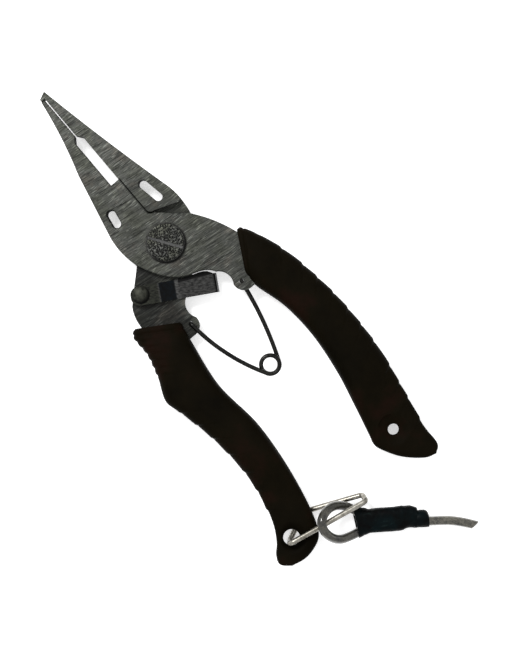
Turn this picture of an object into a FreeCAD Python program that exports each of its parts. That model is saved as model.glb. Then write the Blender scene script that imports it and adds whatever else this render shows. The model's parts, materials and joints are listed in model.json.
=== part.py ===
"""Fishing pliers: two lapped steel levers on a slotted pivot, rubber grips, a return spring,
a lock lever and a wire ring with a crimped lanyard.

The model is drawn about the pivot. +X runs from the pivot to the jaw tips, +Z is the pivot's axis
towards its slotted head, and Z = 0 is the plane in which the two levers meet. The front lever has
its jaw on +Y, its handle on -Y and its plate above Z = 0. The back lever is the front one turned
half a turn about X, so one set of functions draws both, with side +1 for the front and -1 for the
back. Every sub-part is then placed so that the pliers lie on Z = 0, centred on the origin.
"""
import FreeCAD
import Part
import Sketcher
import math
import os

DIMENSIONS = {
    # levers
    "half_thickness": 3.0,
    "layer_gap": 0.2,
    "edge_chamfer": 0.25,
    "tooth_pitch": 1.0,
    "tooth_depth": 0.35,
    # pivot
    "pivot_radius": 3.0,
    "running_clearance": 0.05,
    "snug_clearance": 0.02,
    "shim_radius": 9.0,
    "shim_thickness": 0.12,
    "washer_radius": 6.6,
    "washer_thickness": 0.4,
    "head_radius": 6.2,
    "head_height": 1.2,
    "head_edge": 0.4,
    "slot_width": 0.9,
    "slot_depth": 0.4,
    "nut_radius": 5.6,
    "nut_height": 1.9,
    # lock lever
    "lock_thickness": 1.0,
    "lock_step": 1.55,
    "rivet_radius": 1.4,
    "rivet_head_radius": 2.9,
    "rivet_head_height": 1.0,
    "rivet_tail_radius": 2.3,
    "rivet_tail_height": 0.7,
    "spacer_radius": 2.5,
    # return spring
    "spring_wire_radius": 0.72,
    "spring_coil_radius": 3.02,
    "spring_level": 0.75,
    "spring_bend_radius": 0.85,
    "spring_hole_radius": 0.79,
    # grips
    "grip_half": 6.0,
    "tail_half": 3.2,
    "taper_start": -72.0,
    "taper_end": -90.0,
    "grip_rounding": 1.6,
    "front_hole_radius": 2.4,
    "back_hole_radius": 2.9,
    "dish_radius": 5.4,
    "dish_depth": 0.7,
    # wire ring and lanyard
    "ring_wire_radius": 0.9,
    "ring_bend_radius": 1.3,
    "ring_bow_radius": 9.0,
    "cord_radius": 1.5,
    "strand_offset": 1.56,
    "ferrule_start": 8.4,
    "ferrule_length": 7.6,
    "ferrule_half_width": 3.6,
    "ferrule_half_height": 2.2,
    "sleeve_wall": 0.35,
    "tube_start": 1.7,
    "tube_length": 3.6,
    "tube_radius": 2.75,
    # from the pivot to the middle of the pliers' footprint
    "middle_from_pivot_x": -23.11,
    "middle_from_pivot_y": 3.67,
}

# Points of the levers' outline, drawn for side +1, from the jaw tip towards the handle.
GRIP_FACE_TIP = 60.0
GRIP_FACE_END = 46.0
GRIP_FACE_GAP = 0.15
SLOT_START = (45.4, 0.2)
SLOT_SHOULDER = (43.4, 1.6)
SLOT_END = 25.5
CUTTER_EDGE = 2.0
CUTTER_GAP = 0.1
PLATE_CORNER = [(11.6, -2.0), (10.4, -2.5), (10.0, -3.6)]
PLATE_HEEL = (2.2, -12.25)
LOBE = [(-29.0, -11.6), (-27.6, -8.9), (-24.7, -8.1)]
NOTCH = [(-20.2, -8.6), (-17.7, -6.4)]
BELLY = [(-14.3, -2.7), (-12.6, 1.8), (-10.0, 5.6), (-5.0, 9.4), (1.5, 12.3)]
CHEEK = [(4.9, 12.9), (8.0, 13.1), (10.3, 13.0), (12.6, 12.7)]
SHOULDER = [(12.0, 2.1), (10.9, 2.7), (10.45, 3.9), (7.5, 11.6)]
SPRING_HOLE = (-25.4, -10.8)
CHAMFER_FROM = -24.9

# What differs between the two levers, again drawn for side +1.
FRONT_LEVER = {
    "side": 1,
    "arm": [("arc", (-4.4, -16.6), (-11.7, -19.8))],
    "tang": [("arc", (-45.0, -27.9), (-84.0, -24.6)), ("arc", (-87.4, -21.0), (-84.0, -17.4)),
             ("arc", (-55.0, -20.6), (-29.0, -15.4))],
    "jaw": [("line", (34.8, 7.55)), ("arc", (46.5, 4.2), (60.7, 1.45))],
    "tip": (60.7, 0.15),
    "window": ((18.3, 7.5), (14.8, 8.1)),
    "window_radius": 1.35,
}
BACK_LEVER = {
    "side": -1,
    "arm": [("line", (0.3, -12.15)), ("line", (-4.6, -17.5)), ("line", (-8.9, -21.9)),
            ("arc", (-11.4, -23.1), (-15.6, -23.9))],
    "tang": [("arc", (-50.0, -26.8), (-84.0, -26.6)), ("arc", (-87.4, -23.2), (-84.0, -19.8)),
             ("arc", (-55.0, -19.2), (-29.0, -17.2))],
    "jaw": [("arc", (37.0, 6.85), (62.9, 1.5)), ("line", (61.6, -1.3)), ("line", (60.95, -1.0))],
    "tip": (60.95, 0.15),
    "window": ((19.2, 6.7), (12.9, 7.8)),
    "window_radius": 1.4,
}

# Grip outlines in plan, starting at the outer corner of the mouth and ending at the inner one.
FRONT_GRIP = {
    "side": 1,
    "start": (-11.5, -20.8),
    "outline": [
        ("arc", (-12.0, -21.9), (-13.7, -23.0)),
        ("curve", (-19.2, -25.6), (-31.0, -29.3), (-45.0, -31.3), (-58.0, -31.7), (-72.0, -30.8),
         (-86.0, -28.4), (-99.0, -26.0), (-106.6, -25.5)),
        ("arc", (-108.9, -23.3), (-107.6, -19.1)),
        ("arc", (-102.4, -13.6), (-96.2, -9.9)),
        ("arc", (-93.4, -9.4), (-90.4, -10.3)),
        ("curve", (-80.0, -12.9), (-68.0, -15.7), (-54.0, -17.3), (-41.0, -16.6), (-29.8, -13.5)),
        ("line", (-24.3, -13.4)),
    ],
    "hole": (-94.1, -17.4),
    "hole_radius": "front_hole_radius",
}
BACK_GRIP = {
    "side": -1,
    "start": (-15.0, 26.4),
    "outline": [
        ("curve", (-17.8, 28.0), (-24.0, 28.1), (-32.5, 30.5), (-39.4, 33.3), (-45.0, 32.1),
         (-58.0, 29.3), (-72.0, 28.3), (-83.0, 29.5), (-92.0, 32.1)),
        ("curve", (-97.6, 35.2), (-100.8, 38.3), (-103.9, 39.0), (-106.5, 36.4), (-107.6, 30.6),
         (-105.8, 24.6), (-101.5, 21.7)),
        ("curve", (-91.6, 18.8), (-78.0, 16.4), (-63.3, 15.4), (-46.4, 16.9), (-29.8, 14.4)),
        ("line", (-22.9, 12.9)),
    ],
    "hole": (-99.6, 30.6),
    "hole_radius": "back_hole_radius",
}

# The lock lever turns on the back lever's arm and points across the joint.
LOCK_PIVOT = (-7.8, 17.1)
LOCK_ANGLE = 239.9
LOCK_HALF_WIDTHS = (2.9, 3.4)
LOCK_RAMP = (6.3, 11.4)
LOCK_LENGTH = 25.3
LOCK_FLANGE = -1.5
# A thin web fills the gap between the strap and the front lever's edge, drawn about the rivet.
LOCK_WEB = [(11.8, 2.6), (12.6, 3.3), (15.6, 3.2), (20.0, 4.05), (22.6, 3.9), (24.9, 2.6)]
LOCK_WEB_THICKNESS = 0.45

COIL_CENTRE = (-52.2, -0.4)

# The ring is bent from round wire: corners of its closed centreline.
RING_POINTS = [(-100.5, 32.05, 5.2), (-106.0, 4.4, 3.0), (-104.0, 4.1, -0.9), (-96.2, 22.4, -4.7),
               (-100.5, 32.05, -4.85)]

# Route of the lanyard cord, from its short end in the ferrule round the eye to its cut end.
CORD_ROUTE = [
    (-117.84, -2.69, -2.72), (-110.03, 8.04, -1.78), (-103.4, 10.2, -0.3), (-99.7, 14.0, 3.4),
    (-100.5, 19.2, 7.1), (-104.5, 21.4, 7.1), (-110.0, 19.9, 2.4), (-112.2, 14.8, -0.6),
    (-113.20, 8.99, -1.86), (-121.77, -2.79, -2.89), (-126.4, -9.1, -3.2), (-131.0, -14.4, -4.2),
    (-135.9, -17.8, -4.34),
]
TUBE_CORNER = 9
SLEEVE_START = (-109.0, 12.1, -1.5)
SLEEVE_DIRECTION = (-0.587, -0.8065, -0.0711)
# Along the sleeve: distance from its start, half width and half height of its outside.
SLEEVE_SECTIONS = [(0.6, 6.2, 3.2), (3.6, 5.1, 3.0), (7.6, 4.15, 2.7), (19.4, 4.15, 2.7), (21.0, 3.9, 2.6)]


def vec(x, y, z=0.0):
    return FreeCAD.Vector(x, y, z)


def make_sheet(doc):
    sheet = doc.addObject("Spreadsheet::Sheet", "Dims")
    for row, (alias, value) in enumerate(DIMENSIONS.items(), start=1):
        sheet.set(f"A{row}", alias)
        sheet.set(f"B{row}", str(value))
        sheet.setAlias(f"B{row}", alias)
    doc.recompute()
    return sheet


def sketch_on(body, name, plane="XY_Plane", offset=None):
    """A sketch on one of the body's own origin planes, raised by an expression."""
    sketch = body.newObject("Sketcher::SketchObject", name)
    support = next(item for item in body.Origin.OriginFeatures if item.Role == plane)
    sketch.AttachmentSupport = [(support, "")]
    sketch.MapMode = "FlatFace"
    if offset:
        sketch.setExpression("AttachmentOffset.Base.z", offset)
    return sketch


def flip(points, side):
    return [(x, y * side) for x, y in points]


def flip_steps(steps, side):
    return [(kind, *flip(points, side)) for kind, *points in steps]


def trace(sketch, start, steps):
    """Draw a closed outline. A step is a line to a point, an arc through one point to another, or
    a smooth curve through several points. The last step returns to the start with a line."""
    here = start
    ends = []
    for kind, *points in steps + [("line", start)]:
        knots = [vec(*point) for point in (here, *points)]
        entry, leave = 1, 2
        if kind == "line":
            edge = Part.LineSegment(*knots)
        elif kind == "arc":
            edge = Part.Arc(*knots)
            if (knots[1] - knots[0]).cross(knots[2] - knots[1]).z < 0:
                entry, leave = 2, 1
        else:
            edge = Part.BSplineCurve()
            edge.interpolate(knots)
        ends.append((sketch.addGeometry(edge), entry, leave))
        here = points[-1]
    for (index, _, leave), (following, entry, _) in zip(ends, ends[1:] + ends[:1]):
        sketch.addConstraint(Sketcher.Constraint("Coincident", index, leave, following, entry))


def add_circle(sketch, centre, radius):
    """A circle at a fixed centre whose radius follows an expression."""
    index = sketch.addGeometry(Part.Circle(vec(*centre), vec(0, 0, 1), 1.0))
    for direction, distance in zip(("DistanceX", "DistanceY"), centre):
        if distance:
            sketch.addConstraint(Sketcher.Constraint(direction, -1, 1, index, 3, distance))
        else:
            axis = -2 if direction == "DistanceX" else -1
            sketch.addConstraint(Sketcher.Constraint("PointOnObject", index, 3, axis))
    row = sketch.addConstraint(Sketcher.Constraint("Radius", index, 1.0))
    sketch.setExpression(f"Constraints[{row}]", radius)


def add_feature(body, kind, name, sketch, **settings):
    """A sketch-based feature. Text settings are expressions, the others are plain values."""
    feature = body.newObject("PartDesign::" + kind, name)
    feature.Profile = sketch
    for setting, value in settings.items():
        if isinstance(value, str) and setting not in ("SideType", "Type"):
            feature.setExpression(setting, value)
        else:
            setattr(feature, setting, value)
    sketch.Visibility = False
    return feature


def cut_through(body, name, sketch):
    return add_feature(body, "Pocket", name, sketch, Type="ThroughAll", Midplane=True)


def grip_face(dims):
    """The toothed gripping face, from the jaw tip to the slot."""
    steps = [("line", (GRIP_FACE_TIP, GRIP_FACE_GAP))]
    x = GRIP_FACE_TIP
    while x > GRIP_FACE_END:
        steps.append(("line", (x - dims.tooth_pitch / 2, GRIP_FACE_GAP + dims.tooth_depth)))
        x -= dims.tooth_pitch
        steps.append(("line", (x, GRIP_FACE_GAP)))
    return steps + [("line", SLOT_START), ("line", SLOT_SHOULDER)]


def draw_plate(sketch, lever, dims):
    """The lever's plate: jaw, joint, spring lobe and the tang inside the grip."""
    steps = grip_face(dims) + [
        ("line", (SLOT_END, SLOT_SHOULDER[1])),
        ("line", (SLOT_END, -CUTTER_EDGE)),
        ("line", PLATE_CORNER[0]),
        ("arc", *PLATE_CORNER[1:]),
        ("line", PLATE_HEEL),
        *lever["arm"],
        *lever["tang"],
        ("line", LOBE[0]),
        ("arc", *LOBE[1:]),
        ("arc", *NOTCH),
        ("curve", *BELLY),
        ("arc", *CHEEK[:2]),
        ("arc", *CHEEK[2:]),
        *lever["jaw"],
    ]
    side = lever["side"]
    trace(sketch, *flip([lever["tip"]], side), flip_steps(steps, side))


def draw_jaw_block(sketch, lever, dims):
    """The part of the jaw that is full thickness, behind its shoulder about the pivot."""
    edge = CUTTER_EDGE + CUTTER_GAP
    steps = grip_face(dims) + [
        ("line", (SLOT_END + CUTTER_GAP, SLOT_SHOULDER[1])),
        ("line", (SLOT_END + CUTTER_GAP, edge)),
        ("line", SHOULDER[0]),
        ("arc", *SHOULDER[1:3]),
        ("line", SHOULDER[3]),
        ("line", CHEEK[1]),
        ("arc", *CHEEK[2:]),
        *lever["jaw"],
    ]
    side = lever["side"]
    trace(sketch, *flip([lever["tip"]], side), flip_steps(steps, side))


def draw_window(sketch, lever):
    """The long through hole near the jaw's outer edge: two lines and two half circles."""
    start, end = (vec(*point) for point in flip(lever["window"], lever["side"]))
    along = (end - start).normalize() * lever["window_radius"]
    across = vec(-along.y, along.x)
    corners = [start + across, start - along, start - across, end - across, end + along, end + across]
    points = [(corner.x, corner.y) for corner in corners]
    trace(sketch, points[0], [("arc", *points[1:3]), ("line", points[3]), ("arc", *points[4:])])


def level_edges(shape, height, shortest=0.0, leftmost=-1000.0):
    """Names of the edges at one height that are long enough and far enough to the right."""
    names = []
    for number, edge in enumerate(shape.Edges, start=1):
        points = edge.discretize(8)
        level = all(abs(point.z - height) < 1e-6 for point in points)
        if level and edge.Length > shortest and min(point.x for point in points) > leftmost:
            names.append(f"Edge{number}")
    return names


def build_lever(doc, dims, name, lever):
    side = lever["side"]
    sign = "" if side > 0 else "-"
    body = doc.addObject("PartDesign::Body", name)
    plate = sketch_on(body, "PlateOutline", offset=f"{sign}Dims.layer_gap / 2")
    draw_plate(plate, lever, dims)
    add_feature(body, "Pad", "Plate", plate, Length="Dims.half_thickness - Dims.layer_gap / 2",
                Reversed=side < 0)
    block = sketch_on(body, "JawOutline", offset=f"-({sign}Dims.half_thickness)")
    draw_jaw_block(block, lever, dims)
    add_feature(body, "Pad", "Jaw", block, Length="Dims.half_thickness + Dims.layer_gap / 2",
                Reversed=side < 0)
    holes = sketch_on(body, "RoundHoles")
    clearance = "Dims.running_clearance" if side > 0 else "Dims.snug_clearance"
    add_circle(holes, (0.0, 0.0), f"Dims.pivot_radius + {clearance}")
    add_circle(holes, flip([SPRING_HOLE], side)[0], "Dims.spring_hole_radius")
    if side < 0:
        add_circle(holes, LOCK_PIVOT, "Dims.rivet_radius + Dims.snug_clearance")
    cut_through(body, "Holes", holes)
    window = sketch_on(body, "WindowOutline")
    draw_window(window, lever)
    cut_through(body, "Window", window)
    doc.recompute()
    plain = body.Tip
    edges = level_edges(plain.Shape, side * dims.half_thickness, 2 * dims.tooth_depth, CHAMFER_FROM)
    chamfer = body.newObject("PartDesign::Chamfer", "OuterEdges")
    chamfer.Base = (plain, edges)
    chamfer.setExpression("Size", "Dims.edge_chamfer")
    return body


def build_grip(doc, dims, name, grip, lever):
    side = grip["side"]
    sign = "" if side > 0 else "-"
    body = doc.addObject("PartDesign::Body", name)
    outline = sketch_on(body, "Outline")
    trace(outline, grip["start"], grip["outline"])
    add_feature(body, "Pad", "Block", outline, Length="2 * Dims.grip_half", Midplane=True)
    doc.recompute()
    block = body.Tip
    edges = level_edges(block.Shape, dims.grip_half) + level_edges(block.Shape, -dims.grip_half)
    rounding = body.newObject("PartDesign::Fillet", "Rounding")
    rounding.Base = (block, edges)
    rounding.setExpression("Radius", "Dims.grip_rounding")
    add_taper(body, dims)
    hole = sketch_on(body, "HoleOutline")
    add_circle(hole, grip["hole"], "Dims." + grip["hole_radius"])
    cut_through(body, "LanyardHole", hole)
    for face in (1, -1):
        add_dish(body, dims, grip, face)
    cavity = sketch_on(body, "TangOutline", offset=f"{sign}Dims.layer_gap / 2")
    draw_plate(cavity, lever, dims)
    add_feature(body, "Pocket", "TangCavity", cavity, Length="Dims.half_thickness - Dims.layer_gap / 2",
                Reversed=side > 0)
    return body


def add_taper(body, dims):
    """Thin the tail above and below with one cut seen from the side."""
    taper = sketch_on(body, "TaperOutline", plane="XZ_Plane")
    beyond = 140.0
    for face in (1, -1):
        corners = [(dims.taper_start, dims.grip_half), (dims.taper_end, dims.tail_half),
                   (-beyond, dims.tail_half), (-beyond, 2 * dims.grip_half),
                   (dims.taper_start, 2 * dims.grip_half)]
        points = flip(corners, face)
        trace(taper, points[0], [("line", point) for point in points[1:]])
    return cut_through(body, "TailTaper", taper)


def add_dish(body, dims, grip, face):
    """A shallow cone round the lanyard hole on one face."""
    x, y = grip["hole"]
    dish = sketch_on(body, "DishOutline", plane="XZ_Plane", offset=str(-y))
    rim = dims.tail_half + 0.01
    floor = dims.tail_half - dims.dish_depth
    radius = getattr(dims, grip["hole_radius"])
    corners = [(x, rim), (x + dims.dish_radius, rim), (x + radius, floor), (x, floor)]
    points = flip(corners, face)
    trace(dish, points[0], [("line", point) for point in points[1:]])
    axis = sketch_axis(dish, x)
    groove = body.newObject("PartDesign::Groove", "Dish")
    groove.Profile = dish
    groove.ReferenceAxis = (dish, [axis])
    groove.Angle = 360.0
    dish.Visibility = False
    return groove


def sketch_axis(sketch, x):
    """A construction line to turn a profile about, and the name that a feature calls it by."""
    sketch.addGeometry(Part.LineSegment(vec(x, 0), vec(x, 1)), True)
    return "Axis0"


def revolve(body, name, points):
    """Turn a half section, given as (radius, height) pairs, about the Z axis."""
    profile = sketch_on(body, name + "Section", plane="XZ_Plane")
    trace(profile, points[0], points[1:])
    feature = body.newObject("PartDesign::Revolution", name)
    feature.Profile = profile
    feature.ReferenceAxis = (profile, ["V_Axis"])
    feature.Angle = 360.0
    profile.Visibility = False
    return feature


def build_pivot_screw(doc, dims):
    """Slotted screw with a low domed head. The nut's end of it is chamfered."""
    body = doc.addObject("PartDesign::Body", "pivot_screw")
    seat = dims.half_thickness + dims.washer_thickness + 3 * dims.snug_clearance
    top = seat + dims.head_height
    end = -dims.half_thickness - dims.nut_height - dims.head_edge
    shank = dims.pivot_radius
    dome = 0.3
    section = [
        (0.0, top),
        ("arc", (dims.head_radius / 2, top - 0.3 * dome), (dims.head_radius - dims.head_edge, top - dome)),
        ("line", (dims.head_radius, top - dome - dims.head_edge)), ("line", (dims.head_radius, seat)),
        ("line", (shank, seat)), ("line", (shank, end + dims.head_edge)),
        ("line", (shank - dims.head_edge, end)), ("line", (0.0, end)),
    ]
    revolve(body, "Turned", section)
    above = 0.1
    slot = sketch_on(body, "SlotOutline", offset=str(top + above))
    half, reach = dims.slot_width / 2, dims.head_radius + 1.0
    angle = math.radians(34.0)
    corners = [(reach, half), (-reach, half), (-reach, -half), (reach, -half)]
    turned = [(x * math.cos(angle) - y * math.sin(angle), x * math.sin(angle) + y * math.cos(angle))
              for x, y in corners]
    trace(slot, turned[0], [("line", point) for point in turned[1:]])
    add_feature(body, "Pocket", "DriverSlot", slot, Length=f"Dims.slot_depth + {above}")
    return body


def build_ring(doc, name, centre, base, inner, outer, thickness):
    """A flat washer or spacer. Sizes are expressions, and base is the height of its underside."""
    solids = []
    for suffix, radius in (("outside", outer), ("inside", inner)):
        cylinder = doc.addObject("Part::Cylinder", f"{name}_{suffix}")
        cylinder.setExpression("Radius", radius)
        cylinder.setExpression("Height", thickness)
        cylinder.setExpression("Placement.Base.z", base)
        cylinder.Placement.Base.x, cylinder.Placement.Base.y = centre
        solids.append(cylinder)
    washer = doc.addObject("Part::Cut", name)
    washer.Base, washer.Tool = solids
    return washer


def build_nut(doc, dims):
    """Thin hexagon nut behind the back lever, its outer corners turned off by a cone."""
    body = doc.addObject("PartDesign::Body", "pivot_nut")
    face = -dims.half_thickness - dims.snug_clearance
    outline = sketch_on(body, "Hexagon", offset=str(face))
    angles = [math.radians(60 * corner) for corner in range(6)]
    corners = [(dims.nut_radius * math.cos(angle), dims.nut_radius * math.sin(angle)) for angle in angles]
    trace(outline, corners[0], [("line", corner) for corner in corners[1:]])
    add_feature(body, "Pad", "Blank", outline, Length="Dims.nut_height", Reversed=True)
    hole = sketch_on(body, "ThreadOutline")
    add_circle(hole, (0.0, 0.0), "Dims.pivot_radius + Dims.snug_clearance")
    cut_through(body, "Thread", hole)
    profile = sketch_on(body, "CornerSection", plane="XZ_Plane")
    low = face - dims.nut_height
    below, spare, rise = 0.1, 1.0, 1.2
    inner, outer = dims.nut_radius - spare, dims.nut_radius + spare
    cut = [(inner, low - below), (outer, low - below), (outer, low - below + rise)]
    trace(profile, cut[0], [("line", point) for point in cut[1:]])
    groove = body.newObject("PartDesign::Groove", "Corners")
    groove.Profile = profile
    groove.ReferenceAxis = (profile, ["V_Axis"])
    groove.Angle = 360.0
    return body


def build_lock_lever(doc, dims):
    """A strap of sheet that steps down from its rivet to the arm, with a flange at its free end."""
    body = doc.addObject("PartDesign::Body", "lock_lever")
    sheet = dims.lock_thickness
    low = dims.snug_clearance
    high = low + dims.lock_step
    ramp_start, ramp_end = LOCK_RAMP
    heel = -LOCK_HALF_WIDTHS[1]
    lean = 0.5
    inside = LOCK_LENGTH - sheet
    lower = [(heel, high), (ramp_start - lean, high), (ramp_end - lean, low), (inside - lean, low),
             (inside, LOCK_FLANGE)]
    upper = [(LOCK_LENGTH, LOCK_FLANGE), (LOCK_LENGTH - lean, low + sheet / 2), (inside, low + sheet),
             (ramp_end, low + sheet), (ramp_start, high + sheet), (heel, high + sheet)]
    points = lower + upper
    side = sketch_on(body, "SheetSection", plane="XZ_Plane", offset=str(-LOCK_HALF_WIDTHS[0]))
    trace(side, points[0], [("line", point) for point in points[1:]])
    add_feature(body, "Pad", "Sheet", side, Length=sum(LOCK_HALF_WIDTHS))
    web = sketch_on(body, "WebOutline", offset=str(low))
    trace(web, LOCK_WEB[0], [("line", LOCK_WEB[1]), ("curve", *LOCK_WEB[2:5]), ("line", LOCK_WEB[5])])
    add_feature(body, "Pad", "Web", web, Length=LOCK_WEB_THICKNESS)
    hole = sketch_on(body, "RivetHole")
    add_circle(hole, (0.0, 0.0), "Dims.rivet_radius + Dims.running_clearance")
    cut_through(body, "Hole", hole)
    doc.recompute()
    strap = body.Tip
    corners = [f"Edge{number}" for number, edge in enumerate(strap.Shape.Edges, start=1)
               if all(abs(vertex.X - heel) < 1e-6 for vertex in edge.Vertexes)
               and abs(edge.Vertexes[0].Y - edge.Vertexes[-1].Y) < 1e-6 and len(edge.Vertexes) > 1]
    rounding = body.newObject("PartDesign::Fillet", "RoundEnd")
    rounding.Base = (strap, corners)
    rounding.Radius = min(LOCK_HALF_WIDTHS) - 0.1
    return body


def build_lock_rivet(doc, dims):
    body = doc.addObject("PartDesign::Body", "lock_rivet")
    seat = dims.snug_clearance + dims.lock_step + dims.lock_thickness + dims.snug_clearance
    top = seat + dims.rivet_head_height
    foot = -dims.half_thickness - dims.snug_clearance
    end = foot - dims.rivet_tail_height
    shank, head, tail = dims.rivet_radius, dims.rivet_head_radius, dims.rivet_tail_radius
    section = [
        (0.0, top), ("arc", (head * 0.6, seat + dims.rivet_head_height * 0.78), (head, seat + 0.15)),
        ("line", (head, seat)), ("line", (shank, seat)), ("line", (shank, foot)), ("line", (tail, foot)),
        ("line", (tail - 0.3, end)), ("line", (0.0, end)),
    ]
    revolve(body, "Turned", section)
    return body


def rounded_path(points, radii, closed=False):
    """Straight runs joined by tangent arcs. Returns the wire and its length."""
    count = len(points)
    corners = range(count) if closed else range(1, count - 1)
    arcs = {}
    for index in corners:
        corner = points[index]
        back = (points[index - 1] - corner).normalize()
        ahead = (points[(index + 1) % count] - corner).normalize()
        half_turn = (math.pi - back.getAngle(ahead)) / 2
        reach = radii[index] * math.tan(half_turn)
        inwards = (back + ahead).normalize()
        middle = corner + inwards * (radii[index] / math.cos(half_turn) - radii[index])
        arcs[index] = (corner + back * reach, middle, corner + ahead * reach)
    edges = []
    for index in range(count if closed else count - 1):
        following = (index + 1) % count
        start = arcs[index][2] if index in arcs else points[index]
        end = arcs[following][0] if following in arcs else points[following]
        edges.append(Part.LineSegment(start, end).toShape())
        if following in arcs:
            edges.append(Part.Arc(*arcs[following]).toShape())
    wire = Part.Wire(edges)
    return wire, wire.Length


def sweep(doc, name, wire, radius):
    """Round wire or cord along a path, checked against section times length."""
    start = wire.OrderedEdges[0]
    circle = Part.Circle(start.valueAt(start.FirstParameter), start.tangentAt(start.FirstParameter), radius)
    section = Part.Wire(circle.toShape())
    if wire.isClosed():
        shell = Part.makeShell(wire.makePipe(section).Faces)
        shell.sewShape()
        solid = Part.Solid(shell)
    else:
        solid = wire.makePipe(Part.Face(section))
    expected = math.pi * radius ** 2 * wire.Length
    print(f"{name}: length {wire.Length:.1f} mm, volume {solid.Volume / expected:.4f} of the expected")
    feature = doc.addObject("Part::Feature", name)
    feature.Shape = solid
    return feature


def build_spring_half(doc, dims, name, side, mid, contact_angle):
    """One arm of the return spring with its part of the coil. The arm starts as a hook in the
    lever's hole, lies on the far side of the joint plane and runs tangent into the coil."""
    level = -side * dims.spring_level
    hole = vec(*flip([SPRING_HOLE], side)[0], level)
    centre = vec(*COIL_CENTRE, level)
    radius = dims.spring_coil_radius

    def on_coil(degrees):
        angle = math.radians(degrees)
        return centre + vec(math.cos(angle), math.sin(angle)) * radius

    contact = on_coil(contact_angle)
    bend = dims.spring_bend_radius
    towards = (vec(*mid, level) - hole).normalize()
    up = vec(0, 0, side)
    hook_end = hole + up * (dims.half_thickness + dims.spring_level + 0.2)
    bend_start = hole + up * bend
    bend_end = hole + towards * bend
    bend_middle = hole + (up + towards) * bend * (1 - math.sqrt(0.5))
    turn = -side * 300.0
    edges = [
        Part.LineSegment(hook_end, bend_start).toShape(),
        Part.Arc(bend_start, bend_middle, bend_end).toShape(),
        Part.Arc(bend_end, vec(*mid, level), contact).toShape(),
        Part.Arc(contact, on_coil(contact_angle + turn / 2), on_coil(contact_angle + turn)).toShape(),
    ]
    return sweep(doc, name, Part.Wire(edges), dims.spring_wire_radius)


def build_lanyard_ring(doc, dims):
    points = [vec(*point) for point in RING_POINTS]
    bend, bow = dims.ring_bend_radius, dims.ring_bow_radius
    wire, _ = rounded_path(points, [bend, bend, bend, bow, bend], closed=True)
    return sweep(doc, "lanyard_ring", wire, dims.ring_wire_radius)


def build_cord(doc, dims):
    points = [vec(*point) for point in CORD_ROUTE]
    radii = [0.0] * len(points)
    for index in range(1, len(points) - 1):
        back = points[index - 1] - points[index]
        ahead = points[index + 1] - points[index]
        half_turn = (math.pi - back.getAngle(ahead)) / 2
        radii[index] = 0.45 * min(back.Length, ahead.Length) / math.tan(half_turn)
    print("cord radii:", ", ".join(f"{radius:.1f}" for radius in radii[1:-1]))
    wire, _ = rounded_path(points, radii)
    return sweep(doc, "lanyard_cord", wire, dims.cord_radius)


def sleeve_frame():
    """Start, direction and sideways direction of the crimped stretch."""
    along = vec(*SLEEVE_DIRECTION).normalize()
    across = along.cross(vec(0, 0, 1)).normalize()
    return vec(*SLEEVE_START), along, across


def stadium(centre, along, across, half_width, half_height):
    """Wire of a flat oval section across the cord's direction."""
    up = across.cross(along).normalize() * half_height
    flat = across * (half_width - half_height)
    tip = across * half_width
    edges = [
        Part.LineSegment(centre - flat + up, centre + flat + up).toShape(),
        Part.Arc(centre + flat + up, centre + tip, centre + flat - up).toShape(),
        Part.LineSegment(centre + flat - up, centre - flat - up).toShape(),
        Part.Arc(centre - flat - up, centre - tip, centre - flat + up).toShape(),
    ]
    return Part.Wire(edges)


def build_ferrule(doc, dims):
    """Flat oval crimp with two bores, one for each strand."""
    start, along, across = sleeve_frame()
    base = start + along * dims.ferrule_start
    outline = stadium(base, along, across, dims.ferrule_half_width, dims.ferrule_half_height)
    solid = Part.Face(outline).extrude(along * dims.ferrule_length)
    for offset in (dims.strand_offset, -dims.strand_offset):
        bore = Part.makeCylinder(dims.cord_radius + dims.snug_clearance, dims.ferrule_length,
                                 base + across * offset, along)
        solid = solid.cut(bore)
    ferrule = doc.addObject("Part::Feature", "crimp_ferrule")
    ferrule.Shape = solid
    return ferrule


def build_sleeve(doc, dims):
    """Shrunk tube over the ferrule, flared where the strands part."""
    start, along, across = sleeve_frame()
    lofts = []
    for wall in (0.0, dims.sleeve_wall):
        sections = [stadium(start + along * distance, along, across, width - wall, height - wall)
                    for distance, width, height in SLEEVE_SECTIONS]
        lofts.append(Part.makeLoft(sections, True, True))
    sleeve = doc.addObject("Part::Feature", "shrink_sleeve")
    sleeve.Shape = lofts[0].cut(lofts[1])
    return sleeve


def build_strand_tube(doc, dims):
    """Short inner tube on the single strand where it leaves the sleeve."""
    corner, following = (vec(*point) for point in CORD_ROUTE[TUBE_CORNER:TUBE_CORNER + 2])
    along = (following - corner).normalize()
    base = corner + along * dims.tube_start
    outside = Part.makeCylinder(dims.tube_radius, dims.tube_length, base, along)
    inside = Part.makeCylinder(dims.cord_radius + 0.25, dims.tube_length, base, along)
    tube = doc.addObject("Part::Feature", "strand_tube")
    tube.Shape = outside.cut(inside)
    return tube


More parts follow.
